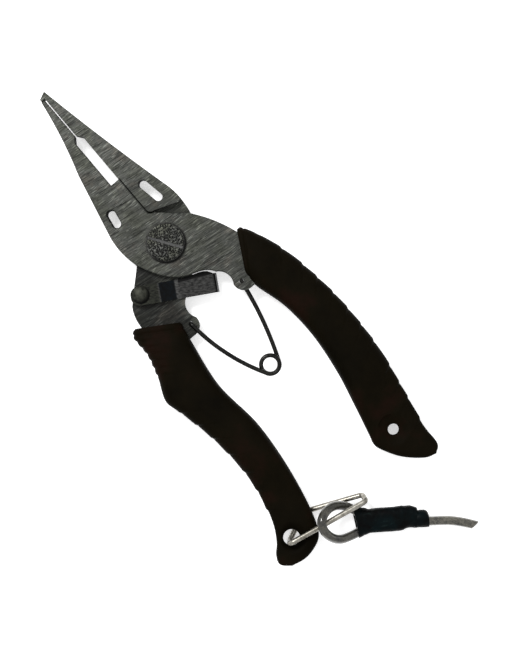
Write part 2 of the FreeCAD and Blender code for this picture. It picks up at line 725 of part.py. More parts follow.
def build_all(doc, dims):
    """Every sub-part, keyed by the name of its node."""
    washer_base = "Dims.half_thickness + Dims.snug_clearance"
    washer_bore = "Dims.pivot_radius + Dims.running_clearance"
    parts = [
        build_lever(doc, dims, "front_lever", FRONT_LEVER),
        build_lever(doc, dims, "back_lever", BACK_LEVER),
        build_grip(doc, dims, "front_grip", FRONT_GRIP, FRONT_LEVER),
        build_grip(doc, dims, "back_grip", BACK_GRIP, BACK_LEVER),
        build_pivot_screw(doc, dims),
        build_nut(doc, dims),
        build_ring(doc, "head_washer", (0.0, 0.0), washer_base, washer_bore, "Dims.washer_radius",
                   "Dims.washer_thickness"),
        build_ring(doc, "pivot_shim", (0.0, 0.0), "-Dims.shim_thickness / 2", washer_bore,
                   "Dims.shim_radius", "Dims.shim_thickness"),
        build_lock_lever(doc, dims),
        build_lock_rivet(doc, dims),
        build_ring(doc, "lock_spacer", LOCK_PIVOT, "-Dims.layer_gap / 2 + Dims.snug_clearance",
                   "Dims.rivet_radius + Dims.running_clearance", "Dims.spacer_radius",
                   "Dims.layer_gap / 2 + Dims.lock_step - Dims.snug_clearance"),
        build_spring_half(doc, dims, "return_spring_front", 1, (-39.2, -7.95), 247.9),
        build_spring_half(doc, dims, "return_spring_back", -1, (-40.65, 7.9), 119.6),
        build_lanyard_ring(doc, dims),
        build_cord(doc, dims),
        build_ferrule(doc, dims),
        build_sleeve(doc, dims),
        build_strand_tube(doc, dims),
    ]
    return {part.Label: part for part in parts}


def place_parts(parts, dims):
    """Move the pliers onto Z = 0, centred on the origin, and the lock's parts onto their rivet."""
    shift = vec(-dims.middle_from_pivot_x, -dims.middle_from_pivot_y, dims.grip_half)
    for part in parts.values():
        part.Placement = FreeCAD.Placement(shift, FreeCAD.Rotation())
    at_rivet = shift + vec(*LOCK_PIVOT)
    parts["lock_lever"].Placement = FreeCAD.Placement(at_rivet, FreeCAD.Rotation(vec(0, 0, 1), LOCK_ANGLE))
    parts["lock_rivet"].Placement = FreeCAD.Placement(at_rivet, FreeCAD.Rotation())


def check(doc, parts):
    for item in doc.Objects:
        if {"Invalid", "Error"} & set(item.State):
            raise RuntimeError(f"{item.Label} failed: {item.State}")
    for name, part in parts.items():
        if part.Shape.isNull() or not part.Shape.isValid() or not part.Shape.Solids:
            raise RuntimeError(f"{name} has no valid solid")


def main():
    doc = FreeCAD.newDocument("FishingPliers")
    dims = make_sheet(doc)
    parts = build_all(doc, dims)
    doc.recompute()
    place_parts(parts, dims)
    doc.recompute()
    check(doc, parts)
    os.makedirs("parts", exist_ok=True)
    for name, part in parts.items():
        part.Shape.exportStep(f"parts/{name}.step")


main()
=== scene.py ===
"""Fishing pliers with rubber grips, a return spring, a lock lever and a crimped lanyard.

Lengths are in metres in the frame's own axes. Shapes are given in millimetres from the pivot, the
way the tool is drawn, and at() turns such a point into a place in the frame. Only the cord's route
is given in metres.
"""
import bmesh
import bpy
import json
import math
from mathutils import Matrix, Vector, noise


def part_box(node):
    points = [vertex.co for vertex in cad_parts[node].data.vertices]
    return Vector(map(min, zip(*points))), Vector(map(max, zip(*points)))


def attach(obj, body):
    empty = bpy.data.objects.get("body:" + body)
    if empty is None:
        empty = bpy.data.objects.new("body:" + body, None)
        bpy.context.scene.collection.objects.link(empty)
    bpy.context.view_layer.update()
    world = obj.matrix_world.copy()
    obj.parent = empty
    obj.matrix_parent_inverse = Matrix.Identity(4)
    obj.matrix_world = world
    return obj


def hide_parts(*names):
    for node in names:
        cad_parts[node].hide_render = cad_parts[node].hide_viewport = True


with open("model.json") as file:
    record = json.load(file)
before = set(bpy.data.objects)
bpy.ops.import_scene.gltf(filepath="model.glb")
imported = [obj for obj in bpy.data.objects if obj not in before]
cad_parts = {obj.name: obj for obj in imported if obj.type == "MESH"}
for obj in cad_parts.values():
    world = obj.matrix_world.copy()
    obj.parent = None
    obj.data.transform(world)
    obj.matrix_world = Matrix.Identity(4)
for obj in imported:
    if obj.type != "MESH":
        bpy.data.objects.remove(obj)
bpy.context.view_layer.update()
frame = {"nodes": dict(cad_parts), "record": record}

MM = 0.001
JOINTS = {joint["name"]: joint for joint in frame["record"]["behaviour"]["joints"]}
PIVOT = Vector(JOINTS["handles"]["pos_m"])

# Camera: straight above, turned so that the jaws point to the upper left.
CAMERA_MIDDLE = (-39.4, -4.7)
CAMERA_HEIGHT = 700.0
FOCUS_HEIGHT = 1.5
VIEW_HEIGHT = 211.9
JAWS_TURN = math.radians(229.79)
SENSOR = 36.0

# Directions in plan: the steel's grinding lines from Y, and the lock strap from its rivet to its end.
GRIND_TURN = math.radians(8.2)
LOCK_TURN = math.radians(239.9)

# The cord's route, in metres from the pivot, from its short end in the ferrule to its cut end.
CORD_ROUTE = [
    (-0.11784, -0.00269, -0.00272), (-0.11003, 0.00804, -0.00178), (-0.1034, 0.0102, -0.0003),
    (-0.0997, 0.0140, 0.0034), (-0.1005, 0.0192, 0.0071), (-0.1045, 0.0214, 0.0071),
    (-0.1100, 0.0199, 0.0024), (-0.1122, 0.0148, -0.0006), (-0.11320, 0.00899, -0.00186),
    (-0.12177, -0.00279, -0.00289), (-0.1264, -0.0091, -0.0032), (-0.1310, -0.0144, -0.0042),
    (-0.1359, -0.0178, -0.00434),
]
# The corner of that route, just inside the sleeve's end, from which one strand runs on alone.
STRAND_CORNER = 9
CORD_DIAMETER = 0.003

# The shrink sleeve: where it starts, its direction, and (distance, half width, half height) along it.
SLEEVE_START = (-109.0, 12.1, -1.5)
SLEEVE_DIRECTION = (-0.587, -0.8065, -0.0711)
SLEEVE_SECTIONS = [
    (0.7, 5.3, 2.9), (1.6, 5.0, 2.75), (3.6, 4.35, 2.65), (5.4, 3.9, 2.6), (6.6, 3.95, 2.65),
    (9.0, 4.0, 2.7), (12.0, 4.0, 2.7), (15.8, 4.0, 2.7), (17.4, 3.65, 2.65), (19.2, 3.55, 2.6),
    (20.4, 3.5, 2.5), (21.0, 3.3, 2.3),
]

# Grip outlines: the palm side and the side towards the other handle, both from the mouth to the
# tail's tip. steps are the moulded steps' edges on the palm side, by distance from the mouth.
FRONT_GRIP = {
    "outer": [(-11.3, -20.6), (-11.9, -22.0), (-13.9, -23.2), (-16.4, -24.4), (-22.5, -26.6),
              (-31.0, -28.9), (-45.0, -30.9), (-58.0, -31.4), (-72.0, -30.6), (-86.0, -28.2),
              (-99.0, -25.8), (-106.6, -25.5), (-109.1, -23.0)],
    "inner": [(-24.3, -13.4), (-29.8, -13.5), (-41.0, -16.4), (-54.0, -17.1), (-68.0, -15.5),
              (-80.0, -12.8), (-90.4, -10.2), (-93.4, -9.4), (-96.2, -9.9), (-102.4, -13.5),
              (-107.6, -19.0), (-109.1, -23.0)],
    "steps": [16.7, 25.4, 31.7, 38.8, 45.9, 52.6, 59.3, 68.9, 75.3, 81.0, 89.0],
    "hole": (-94.1, -17.4),
    "hole_radius": 1.85,
}
BACK_GRIP = {
    "outer": [(-14.8, 26.0), (-15.8, 27.4), (-18.2, 27.9), (-24.0, 27.9), (-28.5, 29.0), (-32.5, 30.3),
              (-39.4, 33.0), (-45.0, 31.9), (-58.0, 29.3), (-72.0, 28.4), (-83.0, 29.6), (-92.0, 32.2),
              (-97.6, 35.3), (-100.8, 38.2), (-103.9, 39.2), (-106.7, 36.4)],
    "inner": [(-22.9, 12.9), (-29.8, 14.3), (-46.4, 16.7), (-63.3, 15.2), (-78.0, 16.2), (-91.6, 18.6),
              (-101.5, 21.5), (-105.8, 24.5), (-107.7, 30.6), (-106.7, 36.4)],
    "steps": [4.6, 7.2, 9.8, 12.4, 15.0, 17.6, 33.0, 39.5, 46.2, 53.4, 61.2, 68.6, 75.8],
    "hole": (-99.6, 30.6),
    "hole_radius": 2.75,
}
# Half thicknesses of a grip and of its thinner tail, and the height of a moulded step.
GRIP_HALF = 6.0
TAIL_HALF = 3.2
STEP_HEIGHT = 0.5


def at(x, y, z=0.0):
    """A point given in millimetres from the pivot, as a place in the frame."""
    return PIVOT + Vector((x, y, z)) * MM


def smooth_step(value, low, high):
    """0 up to low and 1 from high on, with a soft climb between them."""
    t = min(max((value - low) / (high - low), 0.0), 1.0)
    return t * t * (3 - 2 * t)


def squared(value, power):
    """A sine or cosine raised towards 1 without losing its sign, which squares off a round section."""
    return math.copysign(abs(value) ** power, value)


def add_object(name, data, body=None, material=None):
    """Put a mesh in the scene, with its material and on its moving body if these are given."""
    piece = bpy.data.objects.new(name, data)
    bpy.context.scene.collection.objects.link(piece)
    if material:
        data.materials.append(material)
    if body:
        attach(piece, body)
    return piece


def shade_smooth(mesh, angle=math.radians(40)):
    """Smooth shading that keeps the edges sharper than the angle."""
    mesh.polygons.foreach_set("use_smooth", [True] * len(mesh.polygons))
    mesh.set_sharp_from_angle(angle=angle)


def mesh_from(name, points, faces):
    mesh = bpy.data.meshes.new(name)
    mesh.from_pydata([tuple(point) for point in points], [], faces)
    mesh.update()
    return mesh


def mend(mesh, merge=0.0, smallest=0.0):
    """Make all faces point the same way, after joining close corners and dropping tiny edges.

    merge and smallest are the distances for these two, and 0 leaves the step out.
    """
    mended = bmesh.new()
    mended.from_mesh(mesh)
    if merge:
        bmesh.ops.remove_doubles(mended, verts=mended.verts, dist=merge)
    if smallest:
        bmesh.ops.dissolve_degenerate(mended, edges=mended.edges, dist=smallest)
    bmesh.ops.recalc_face_normals(mended, faces=mended.faces)
    mended.to_mesh(mesh)
    mended.free()


# ---------------------------------------------------------------- materials


class Shader:
    """A node material built one node at a time."""

    def __init__(self, name, **values):
        self.material = bpy.data.materials.new(name)
        self.material.use_nodes = True
        self.tree = self.material.node_tree
        self.surface = self.tree.nodes["Principled BSDF"]
        for socket, value in values.items():
            self.surface.inputs[socket.replace("_", " ")].default_value = value

    def node(self, kind, links=(), **settings):
        node = self.tree.nodes.new("ShaderNode" + kind)
        for name, value in settings.items():
            setattr(node, name, value)
        for socket, value in links:
            if isinstance(value, bpy.types.NodeSocket):
                self.tree.links.new(value, node.inputs[socket])
            else:
                node.inputs[socket].default_value = value
        return node

    def link(self, output, socket):
        self.tree.links.new(output, self.surface.inputs[socket])

    def object_coordinates(self, turn=0.0, sizes=(1, 1, 1)):
        """Object coordinates turned about Z, then measured in grains of the given sizes in mm."""
        place = self.node("TexCoord").outputs["Object"]
        turned = self.node("Mapping", [("Vector", place), ("Rotation", (0, 0, turn))])
        scale = [1 / (size * MM) for size in sizes]
        return self.node("Mapping", [("Vector", turned.outputs[0]), ("Scale", scale)]).outputs[0]

    def noise(self, coordinates, detail=3.0, roughness=0.55, distortion=0.0):
        return self.node("TexNoise", [("Vector", coordinates), ("Scale", 1.0), ("Detail", detail),
                                      ("Roughness", roughness), ("Distortion", distortion)]).outputs["Fac"]

    def cells(self, coordinates, feature="F1"):
        links = [("Vector", coordinates), ("Scale", 1.0)]
        return self.node("TexVoronoi", links, feature=feature).outputs["Distance"]

    def ramp(self, value, *stops):
        node = self.node("ValToRGB", [("Fac", value)])
        elements = node.color_ramp.elements
        for index, (position, color) in enumerate(stops):
            element = elements[index] if index < 2 else elements.new(position)
            element.position = position
            level = color if isinstance(color, tuple) else (color, color, color)
            element.color = (*level, 1)
        return node.outputs["Color"]

    def remap(self, value, low, high, to_low, to_high):
        return self.node("MapRange", [("Value", value), ("From Min", low), ("From Max", high),
                                      ("To Min", to_low), ("To Max", to_high)]).outputs["Result"]

    def math(self, operation, first, second=0.0):
        return self.node("Math", [(0, first), (1, second)], operation=operation).outputs[0]

    def dot(self, place, direction):
        links = [(0, place), (1, direction)]
        return self.node("VectorMath", links, operation="DOT_PRODUCT").outputs["Value"]

    def mix(self, factor, first, second, blend="MIX"):
        links = [(0, factor), (6, first), (7, second)]
        return self.node("Mix", links, data_type="RGBA", blend_type=blend).outputs[2]

    def bump(self, height, distance, strength=1.0, normal=None):
        """A normal bent by a height pattern whose full depth is distance in mm."""
        links = [("Height", height), ("Distance", distance * MM), ("Strength", strength)]
        if normal:
            links.append(("Normal", normal))
        return self.node("Bump", links).outputs["Normal"]


def rgb(red, green, blue):
    """A linear colour from its 0 to 255 display values."""
    return tuple((level / 255) ** 2.2 for level in (red, green, blue))


def brushed_steel(name, dark, light, shade):
    """Ground plate: fine lines across the tool, broader bands, scratches painted bright as glints, faint
    stains.

    shade is a function that adds the painted shade of this lever to a shader and gives a factor.
    """
    shader = Shader(name, Metallic=0.8, Roughness=0.42)
    lines = shader.noise(shader.object_coordinates(GRIND_TURN, (0.24, 9.0, 0.7)), 2.0, 0.65)
    bands = shader.noise(shader.object_coordinates(GRIND_TURN + 0.05, (0.9, 11.0, 2.0)), 3.0, 0.6, 0.25)
    scratches = shader.noise(shader.object_coordinates(GRIND_TURN - 0.09, (0.24, 4.0, 0.7)), 1.0)
    specks = shader.noise(shader.object_coordinates(0.3, (0.55, 0.75, 0.6)), 3.0, 0.7)
    streaks = shader.math("ADD", shader.math("MULTIPLY", lines, 0.5), shader.math("MULTIPLY", bands, 0.32))
    streaks = shader.math("ADD", streaks, shader.math("MULTIPLY", specks, 0.18))
    color = shader.ramp(streaks, (0.38, dark), (0.6, light))
    # Painted glints: scratches are coloured far brighter than the steel, standing in for highlights.
    painted_glint = shader.remap(scratches, 0.6, 0.72, 0.0, 0.8)
    color = shader.mix(painted_glint, color, (*(2.6 * level for level in light), 1))
    stains = shader.noise(shader.object_coordinates(0.4, (7.0, 9.0, 9.0)), 4.0, 0.6)
    tint = shader.ramp(stains, (0.32, (0.64, 0.66, 0.58)), (0.45, (0.92, 0.93, 0.88)),
                       (0.54, (0.96, 0.97, 0.98)), (0.66, (1.2, 1.1, 1.05)))
    color = shader.mix(1.0, color, tint, "MULTIPLY")
    color = shader.mix(1.0, color, shade(shader), "MULTIPLY")
    ground = ground_face(shader)
    color = shader.mix(ground, (*rgb(9, 9, 9), 1), color)
    shader.link(color, "Base Color")
    shader.link(shader.math("MULTIPLY", ground, 0.8), "Metallic")
    gloss = shader.remap(streaks, 0.3, 0.7, 0.54, 0.36)
    shader.link(shader.remap(ground, 0.0, 1.0, 0.95, gloss), "Roughness")
    normal = shader.bump(lines, 0.025, 0.5)
    shader.link(shader.bump(specks, 0.03, 0.5, normal), "Normal")
    return shader.material


def ground_face(shader):
    """1 on the flat faces, which are ground bare, and 0 on the upright cut edges, which are coloured near
    black.
    """
    normal = shader.node("SeparateXYZ", [("Vector", shader.node("NewGeometry").outputs["Normal"])])
    upright = shader.math("ABSOLUTE", normal.outputs["Z"])
    return shader.remap(upright, 0.2, 0.65, 0.0, 1.0)


def distance_from(shader, x, y):
    """Distance in plan from an upright axis."""
    place = shader.node("TexCoord").outputs["Object"]
    centre = at(x, y)
    offset = shader.node("VectorMath", [(0, place), (1, centre)], operation="SUBTRACT").outputs[0]
    flat = shader.node("VectorMath", [(0, offset), (1, (1, 1, 0))], operation="MULTIPLY").outputs[0]
    return shader.node("VectorMath", [(0, flat)], operation="LENGTH").outputs["Value"]


def head_shadow_crescent(shader):
    """Painted shadow in a curved band beside the screw's head, on the side towards the handles."""
    return shader.remap(distance_from(shader, -0.5, -0.05), 6.25 * MM, 6.9 * MM, 0.1, 1.0)


def window_border(shader, start, end, radius):
    """A painted shadow line on one side of a window, drawn by three discs that stand a little off it."""
    nearest = distance_from(shader, *start)
    for share in (0.5, 1.0):
        x, y = (a + (b - a) * share for a, b in zip(start, end))
        nearest = shader.math("MINIMUM", nearest, distance_from(shader, x, y))
    return shader.remap(nearest, (radius - 0.1) * MM, (radius + 0.15) * MM, 0.1, 1.0)


def front_shade(shader):
    """Painted shade by the screw's head, on one side of the window and along the seam with the other jaw.
    """
    place = shader.node("SeparateXYZ", [("Vector", shader.node("TexCoord").outputs["Object"])])
    # Painted shade along the step at the seam with the other jaw.
    seam = shader.remap(place.outputs["Y"], at(0, -1.7).y, at(0, -1.25).y, 0.25, 1.0)
    below = shader.math("LESS_THAN", place.outputs["X"], at(10.6, 0).x)
    beyond = shader.math("GREATER_THAN", place.outputs["X"], at(25.5, 0).x)
    seam = shader.math("MAXIMUM", seam, shader.math("MAXIMUM", below, beyond))
    border = window_border(shader, (18.55, 7.85), (15.0, 8.45), 1.4)
    return shader.math("MULTIPLY", shader.math("MULTIPLY", head_shadow_crescent(shader), seam), border)


def back_shade(shader):
    """Painted shade: the arm is darker than the jaw, and the plate darkens round the joint and on one side
    of the window.
    """
    place = shader.node("SeparateXYZ", [("Vector", shader.node("TexCoord").outputs["Object"])])
    # Painted shade on the arm, which lies lower than the other lever.
    arm = shader.remap(place.outputs["Y"], at(0, 8.0).y, at(0, 11.5).y, 1.0, 0.3)
    behind = shader.remap(place.outputs["X"], at(8.0, 0).x, at(11.0, 0).x, 0.0, 1.0)
    arm = shader.math("MAXIMUM", arm, behind)
    # Painted shade in the recess round the joint, beside the other lever's disc.
    joint_recess_shade = shader.remap(distance_from(shader, 0, 0), 11.2 * MM, 14.6 * MM, 0.5, 1.0)
    border = window_border(shader, (19.35, -6.5), (13.05, -7.6), 1.42)
    return shader.math("MULTIPLY", shader.math("MULTIPLY", arm, joint_recess_shade), border)


def rivet_shade(shader):
    """Painted shadow: the rivet's head is dark on the side towards the handles."""
    return shader.remap(distance_from(shader, -7.2, 17.1), 2.1 * MM, 2.9 * MM, 1.0, 0.08)


def textured_head(name):
    """Pressed, oiled steel with a coarse crushed pattern."""
    shader = Shader(name, Metallic=0.8, Roughness=0.45)
    grains = shader.cells(shader.object_coordinates(0.0, (0.5, 0.5, 0.5)))
    pits = shader.noise(shader.object_coordinates(0.0, (0.32, 0.32, 0.32)), 3.0, 0.7)
    mixed = shader.math("ADD", shader.math("MULTIPLY", grains, 0.55), shader.math("MULTIPLY", pits, 0.65))
    color = shader.ramp(mixed, (0.42, rgb(3, 3, 3)), (0.6, rgb(22, 23, 20)), (0.78, rgb(84, 85, 80)))
    clouds = shader.noise(shader.object_coordinates(0.0, (5.0, 5.0, 5.0)), 1.0)
    tint = shader.ramp(clouds, (0.4, (1.0, 1.0, 0.9)), (0.6, (0.96, 0.95, 1.0)))
    shader.link(shader.mix(1.0, color, tint, "MULTIPLY"), "Base Color")
    shader.link(shader.remap(pits, 0.3, 0.7, 0.32, 0.6), "Roughness")
    shader.link(shader.bump(mixed, 0.16, 0.7), "Normal")
    return shader.material


def lock_strap_steel(name):
    """Satin strip: oiled by its rivet, with painted shade (black where it slopes down, dark at its bent end
    and its web) and a painted highlight just beyond the sloping stretch.
    """
    shader = Shader(name, Metallic=0.8, Roughness=0.42)
    grain = shader.noise(shader.object_coordinates(GRIND_TURN + 0.5, (0.4, 1.3, 0.5)), 4.0, 0.65)
    patches = shader.noise(shader.object_coordinates(0.0, (1.1, 1.1, 1.1)), 4.0, 0.65, 0.4)
    pale = shader.ramp(grain, (0.38, rgb(24, 24, 24)), (0.62, rgb(63, 63, 62)))
    dark = shader.ramp(patches, (0.38, rgb(1, 3, 5)), (0.66, rgb(11, 19, 24)))
    rivet = Vector(JOINTS["lock_swing"]["pos_m"])
    along = Vector((math.cos(LOCK_TURN), math.sin(LOCK_TURN), 0))
    across = Vector((-along.y, along.x, 0))
    place = shader.node("TexCoord").outputs["Object"]
    place = shader.node("VectorMath", [(0, place), (1, rivet)], operation="SUBTRACT").outputs[0]
    distance = shader.dot(place, along)
    side = shader.dot(place, across)

    def change(start, end, before, after):
        """A factor that changes along the strap, from start to end in mm from the rivet."""
        return shader.remap(distance, start * MM, end * MM, before, after)

    oil = shader.ramp(change(5.6, 6.3, 0.0, 1.0), (0.0, (0.3, 0.32, 0.24)), (1.0, 0.9))
    pale = shader.mix(1.0, pale, oil, "MULTIPLY")
    # Painted highlight: the strap is made brighter up to 12.4 mm, which shows as a light line at the bend
    # just past the dark sloping stretch.
    bend_highlight = change(12.4, 12.9, 1.5, 1.0)
    pale = shader.mix(1.0, pale, bend_highlight, "MULTIPLY")
    # Painted shade on the strap's bent end.
    bent_end_shade = change(23.6, 24.6, 1.0, 0.12)
    pale = shader.mix(1.0, pale, bent_end_shade, "MULTIPLY")
    # Painted shade: the sloping stretch is coloured near black, as it faces away from the light.
    slope = shader.math("MULTIPLY", change(6.0, 6.4, 0.0, 1.0), change(11.1, 11.6, 1.0, 0.0))
    color = shader.mix(slope, pale, dark)
    # Painted shadow: the web beyond the strap's edge is coloured near black, standing in for the shadow
    # under the other lever's edge.
    web_start = 12.6 * MM
    strap_edge = change(13.0, 24.0, 1.9 * MM, 2.75 * MM)
    past_edge = shader.math("SUBTRACT", side, strap_edge)
    web = shader.remap(past_edge, -0.1 * MM, 0.1 * MM, 1.0, 0.03)
    web = shader.math("MAXIMUM", web, shader.math("LESS_THAN", distance, web_start))
    shader.link(shader.mix(1.0, color, web, "MULTIPLY"), "Base Color")
    shader.link(shader.remap(patches, 0.3, 0.7, 0.34, 0.5), "Roughness")
    shader.link(shader.bump(patches, 0.08, 0.4), "Normal")
    return shader.material


def plain_steel(name, dark, light, grain=0.6, roughness=0.35, metallic=0.85, shade=None):
    """Steel that varies between two colours in spots, grain mm across, and in broader clouds."""
    shader = Shader(name, Metallic=metallic, Roughness=roughness)
    spots = shader.noise(shader.object_coordinates(0.0, (grain, grain, grain)), 4.0, 0.6)
    clouds = shader.noise(shader.object_coordinates(0.0, (5.0, 5.0, 5.0)), 2.0)
    mixed = shader.math("ADD", shader.math("MULTIPLY", spots, 0.6), shader.math("MULTIPLY", clouds, 0.4))
    color = shader.ramp(mixed, (0.35, dark), (0.66, light))
    if shade:
        color = shader.mix(1.0, color, shade(shader), "MULTIPLY")
    shader.link(color, "Base Color")
    shader.link(shader.remap(spots, 0.3, 0.7, roughness - 0.08, roughness + 0.12), "Roughness")
    shader.link(shader.bump(spots, 0.02, 0.5), "Normal")
    return shader.material


def grip_rubber(name):
    """Matt black rubber: fine pebble grain, brown dust in faint clouds."""
    shader = Shader(name, Roughness=0.62, Specular_IOR_Level=0.03)
    grain = shader.cells(shader.object_coordinates(0.0, (0.42, 0.42, 0.42)))
    fine = shader.noise(shader.object_coordinates(0.0, (0.16, 0.16, 0.16)), 3.0)
    clouds = shader.noise(shader.object_coordinates(0.0, (14.0, 14.0, 14.0)), 4.0, 0.6)
    color = shader.ramp(clouds, (0.3, rgb(14, 12, 6)), (0.55, rgb(20, 17, 10)), (0.7, rgb(27, 18, 13)))
    shader.link(color, "Base Color")
    shader.link(shader.remap(fine, 0.3, 0.7, 0.55, 0.75), "Roughness")
    normal = shader.bump(grain, 0.035, 0.5)
    shader.link(shader.bump(fine, 0.02, 0.5, normal), "Normal")
    return shader.material


def shrink_plastic(name):
    """Shrunk tube: dark green-blue, satin, with scuffs and fine wrinkles."""
    shader = Shader(name, Roughness=0.35, Specular_IOR_Level=0.06)
    scuffs = shader.noise(shader.object_coordinates(0.6, (1.2, 3.5, 1.2)), 5.0, 0.65, 0.6)
    clouds = shader.noise(shader.object_coordinates(0.0, (5.0, 5.0, 5.0)), 3.0)
    color = shader.ramp(clouds, (0.38, rgb(1, 2, 3)), (0.66, rgb(2, 18, 20)))
    dust = shader.ramp(scuffs, (0.6, 0.0), (0.76, 0.5))
    shader.link(shader.mix(dust, color, (*rgb(40, 54, 52), 1)), "Base Color")
    shader.link(shader.remap(scuffs, 0.3, 0.7, 0.3, 0.55), "Roughness")
    shader.link(shader.bump(scuffs, 0.12, 0.5), "Normal")
    return shader.material


def cord_cover(name):
    """Clear-coated braid: grey-beige strands under a gloss coat, darker in the loop than in the tail."""
    shader = Shader(name, Roughness=0.3, Metallic=0.7, Coat_Weight=1.0, Coat_Roughness=0.1)
    fibres = shader.noise(shader.object_coordinates(0.0, (0.5, 0.5, 0.5)), 4.0, 0.7)
    clouds = shader.noise(shader.object_coordinates(0.0, (3.0, 3.0, 3.0)), 3.0)
    mixed = shader.math("ADD", shader.math("MULTIPLY", fibres, 0.55), shader.math("MULTIPLY", clouds, 0.45))
    color = shader.ramp(mixed, (0.38, rgb(22, 21, 15)), (0.62, rgb(104, 101, 90)))
    place = shader.node("SeparateXYZ", [("Vector", shader.node("TexCoord").outputs["Object"])])
    # The loop is coloured darker than the tail.
    loop_darkening = shader.remap(place.outputs["X"], at(-119.0, 0).x, at(-114.0, 0).x, 1.0, 0.5)
    shader.link(shader.mix(1.0, color, loop_darkening, "MULTIPLY"), "Base Color")
    shader.link(shader.bump(fibres, 0.03, 0.5), "Normal")
    return shader.material


# ---------------------------------------------------------------- camera and cord


def make_camera():
    """A camera that looks straight down, from far enough off to keep perspective slight."""
    data = bpy.data.cameras.new("camera")
    data.sensor_width = SENSOR
    data.lens = SENSOR * CAMERA_HEIGHT / VIEW_HEIGHT
    data.clip_start = 0.01
    camera = bpy.data.objects.new("camera", data)
    bpy.context.scene.collection.objects.link(camera)
    place = Matrix.Translation(at(*CAMERA_MIDDLE, CAMERA_HEIGHT + FOCUS_HEIGHT))
    camera.matrix_world = place @ Matrix.Rotation(JAWS_TURN, 4, "Z")
    bpy.context.scene.camera = camera


def spline_points(name, route):
    """The cord's own line: points read from one NURBS spline that its route's corners guide."""
    curve = bpy.data.curves.new(name, "CURVE")
    curve.dimensions = "3D"
    curve.resolution_u = 24
    spline = curve.splines.new("NURBS")
    spline.points.add(len(route) - 1)
    for point, place in zip(spline.points, route):
        point.co = (*place, 1)
    spline.order_u = 3
    spline.use_endpoint_u = True
    holder = bpy.data.objects.new(name, curve)
    line = bpy.data.meshes.new_from_object(holder)
    points = [vertex.co.copy() for vertex in line.vertices]
    bpy.data.objects.remove(holder)
    bpy.data.curves.remove(curve)
    return points


def moving_frames(points, first_side):
    """Side and up at each point, turned as little as possible from one to the next."""
    side = first_side
    frames = []
    for index in range(len(points)):
        before = points[max(index - 1, 0)]
        after = points[min(index + 1, len(points) - 1)]
        tangent = (after - before).normalized()
        side = (side - tangent * side.dot(tangent)).normalized()
        frames.append((side, tangent.cross(side)))
    return frames


def tube_mesh(name, points, radius_at, sides, first_side=Vector((0, 0, 1))):
    """A tube round a line. radius_at(distance, angle) gives the surface's distance from the line."""
    frames = moving_frames(points, first_side)
    rings = []
    travelled = 0.0
    for index, (point, (side, up)) in enumerate(zip(points, frames)):
        if index:
            travelled += (point - points[index - 1]).length
        ring = []
        for step in range(sides):
            angle = 2 * math.pi * step / sides
            direction = side * math.cos(angle) + up * math.sin(angle)
            ring.append(point + direction * radius_at(travelled, angle))
        rings.append(ring)
    return loft_mesh(name, rings)


def loft_mesh(name, rings, caps=True):
    """Quads between closed rings of equal counts, with a flat fan on each end if caps is set."""
    sides = len(rings[0])
    points = [point for ring in rings for point in ring]
    faces = []
    for row in range(len(rings) - 1):
        for column in range(sides):
            following = (column + 1) % sides
            faces.append((row * sides + column, row * sides + following,
                          (row + 1) * sides + following, (row + 1) * sides + column))
    if caps:
        for ring, start, turn in ((rings[0], 0, -1), (rings[-1], (len(rings) - 1) * sides, 1)):
            middle = sum(ring, Vector()) / sides
            points.append(middle)
            hub = len(points) - 1
            for column in range(sides):
                pair = [start + column, start + (column + 1) % sides]
                faces.append((hub, *pair[::turn]))
    return mesh_from(name, points, faces)


def resample(points, count):
    """Evenly spaced points along a line."""
    lengths = [0.0]
    for first, second in zip(points, points[1:]):
        lengths.append(lengths[-1] + (second - first).length)
    result = []
    segment = 0
    for step in range(count):
        target = lengths[-1] * step / (count - 1)
        while segment < len(points) - 2 and lengths[segment + 1] < target:
            segment += 1
        span = lengths[segment + 1] - lengths[segment]
        result.append(points[segment].lerp(points[segment + 1], (target - lengths[segment]) / span))
    return result


def make_cord(material):
    """The braided cord from its short end, round the ring's eye, to its cut end."""
    route = [PIVOT + Vector(point) for point in CORD_ROUTE]
    line = spline_points("cord_line", route)
    points = resample(line, 420)
    strands, groove = 12, 0.07 * MM
    twist = 2 * math.pi / (16 * MM)

    def radius_at(distance, angle):
        """Two sets of strands that wind opposite ways, pressed flat under a clear coat."""
        one_way = abs(math.sin(strands / 2 * (angle + twist * distance)))
        other_way = abs(math.sin(strands / 2 * (angle - twist * distance)))
        return CORD_DIAMETER / 2 - groove * (1 - max(one_way, other_way))

    mesh = tube_mesh("lanyard_line", points, radius_at, 40)
    cut_on_a_slant(mesh, points)
    shade_smooth(mesh)
    cord = add_object("lanyard_line", mesh, "ring", material)
    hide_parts("lanyard_cord")
    return cord, points


def cut_on_a_slant(mesh, points):
    """Shear the cord's last stretch and draw it back a little, so that its end face slants."""
    end = points[-1]
    along = (end - points[-6]).normalized()
    across = along.cross(Vector((0, 0, 1))).normalized()
    reach, slant, drawn_back = 2.5 * MM, 0.62, 0.25 * MM
    for vertex in mesh.vertices:
        offset = vertex.co - end
        if offset.length < 2 * reach:
            share = smooth_step(offset.dot(along), -reach, 0.0)
            vertex.co -= along * (slant * offset.dot(across) + drawn_back) * share


# ---------------------------------------------------------------- lanyard pieces


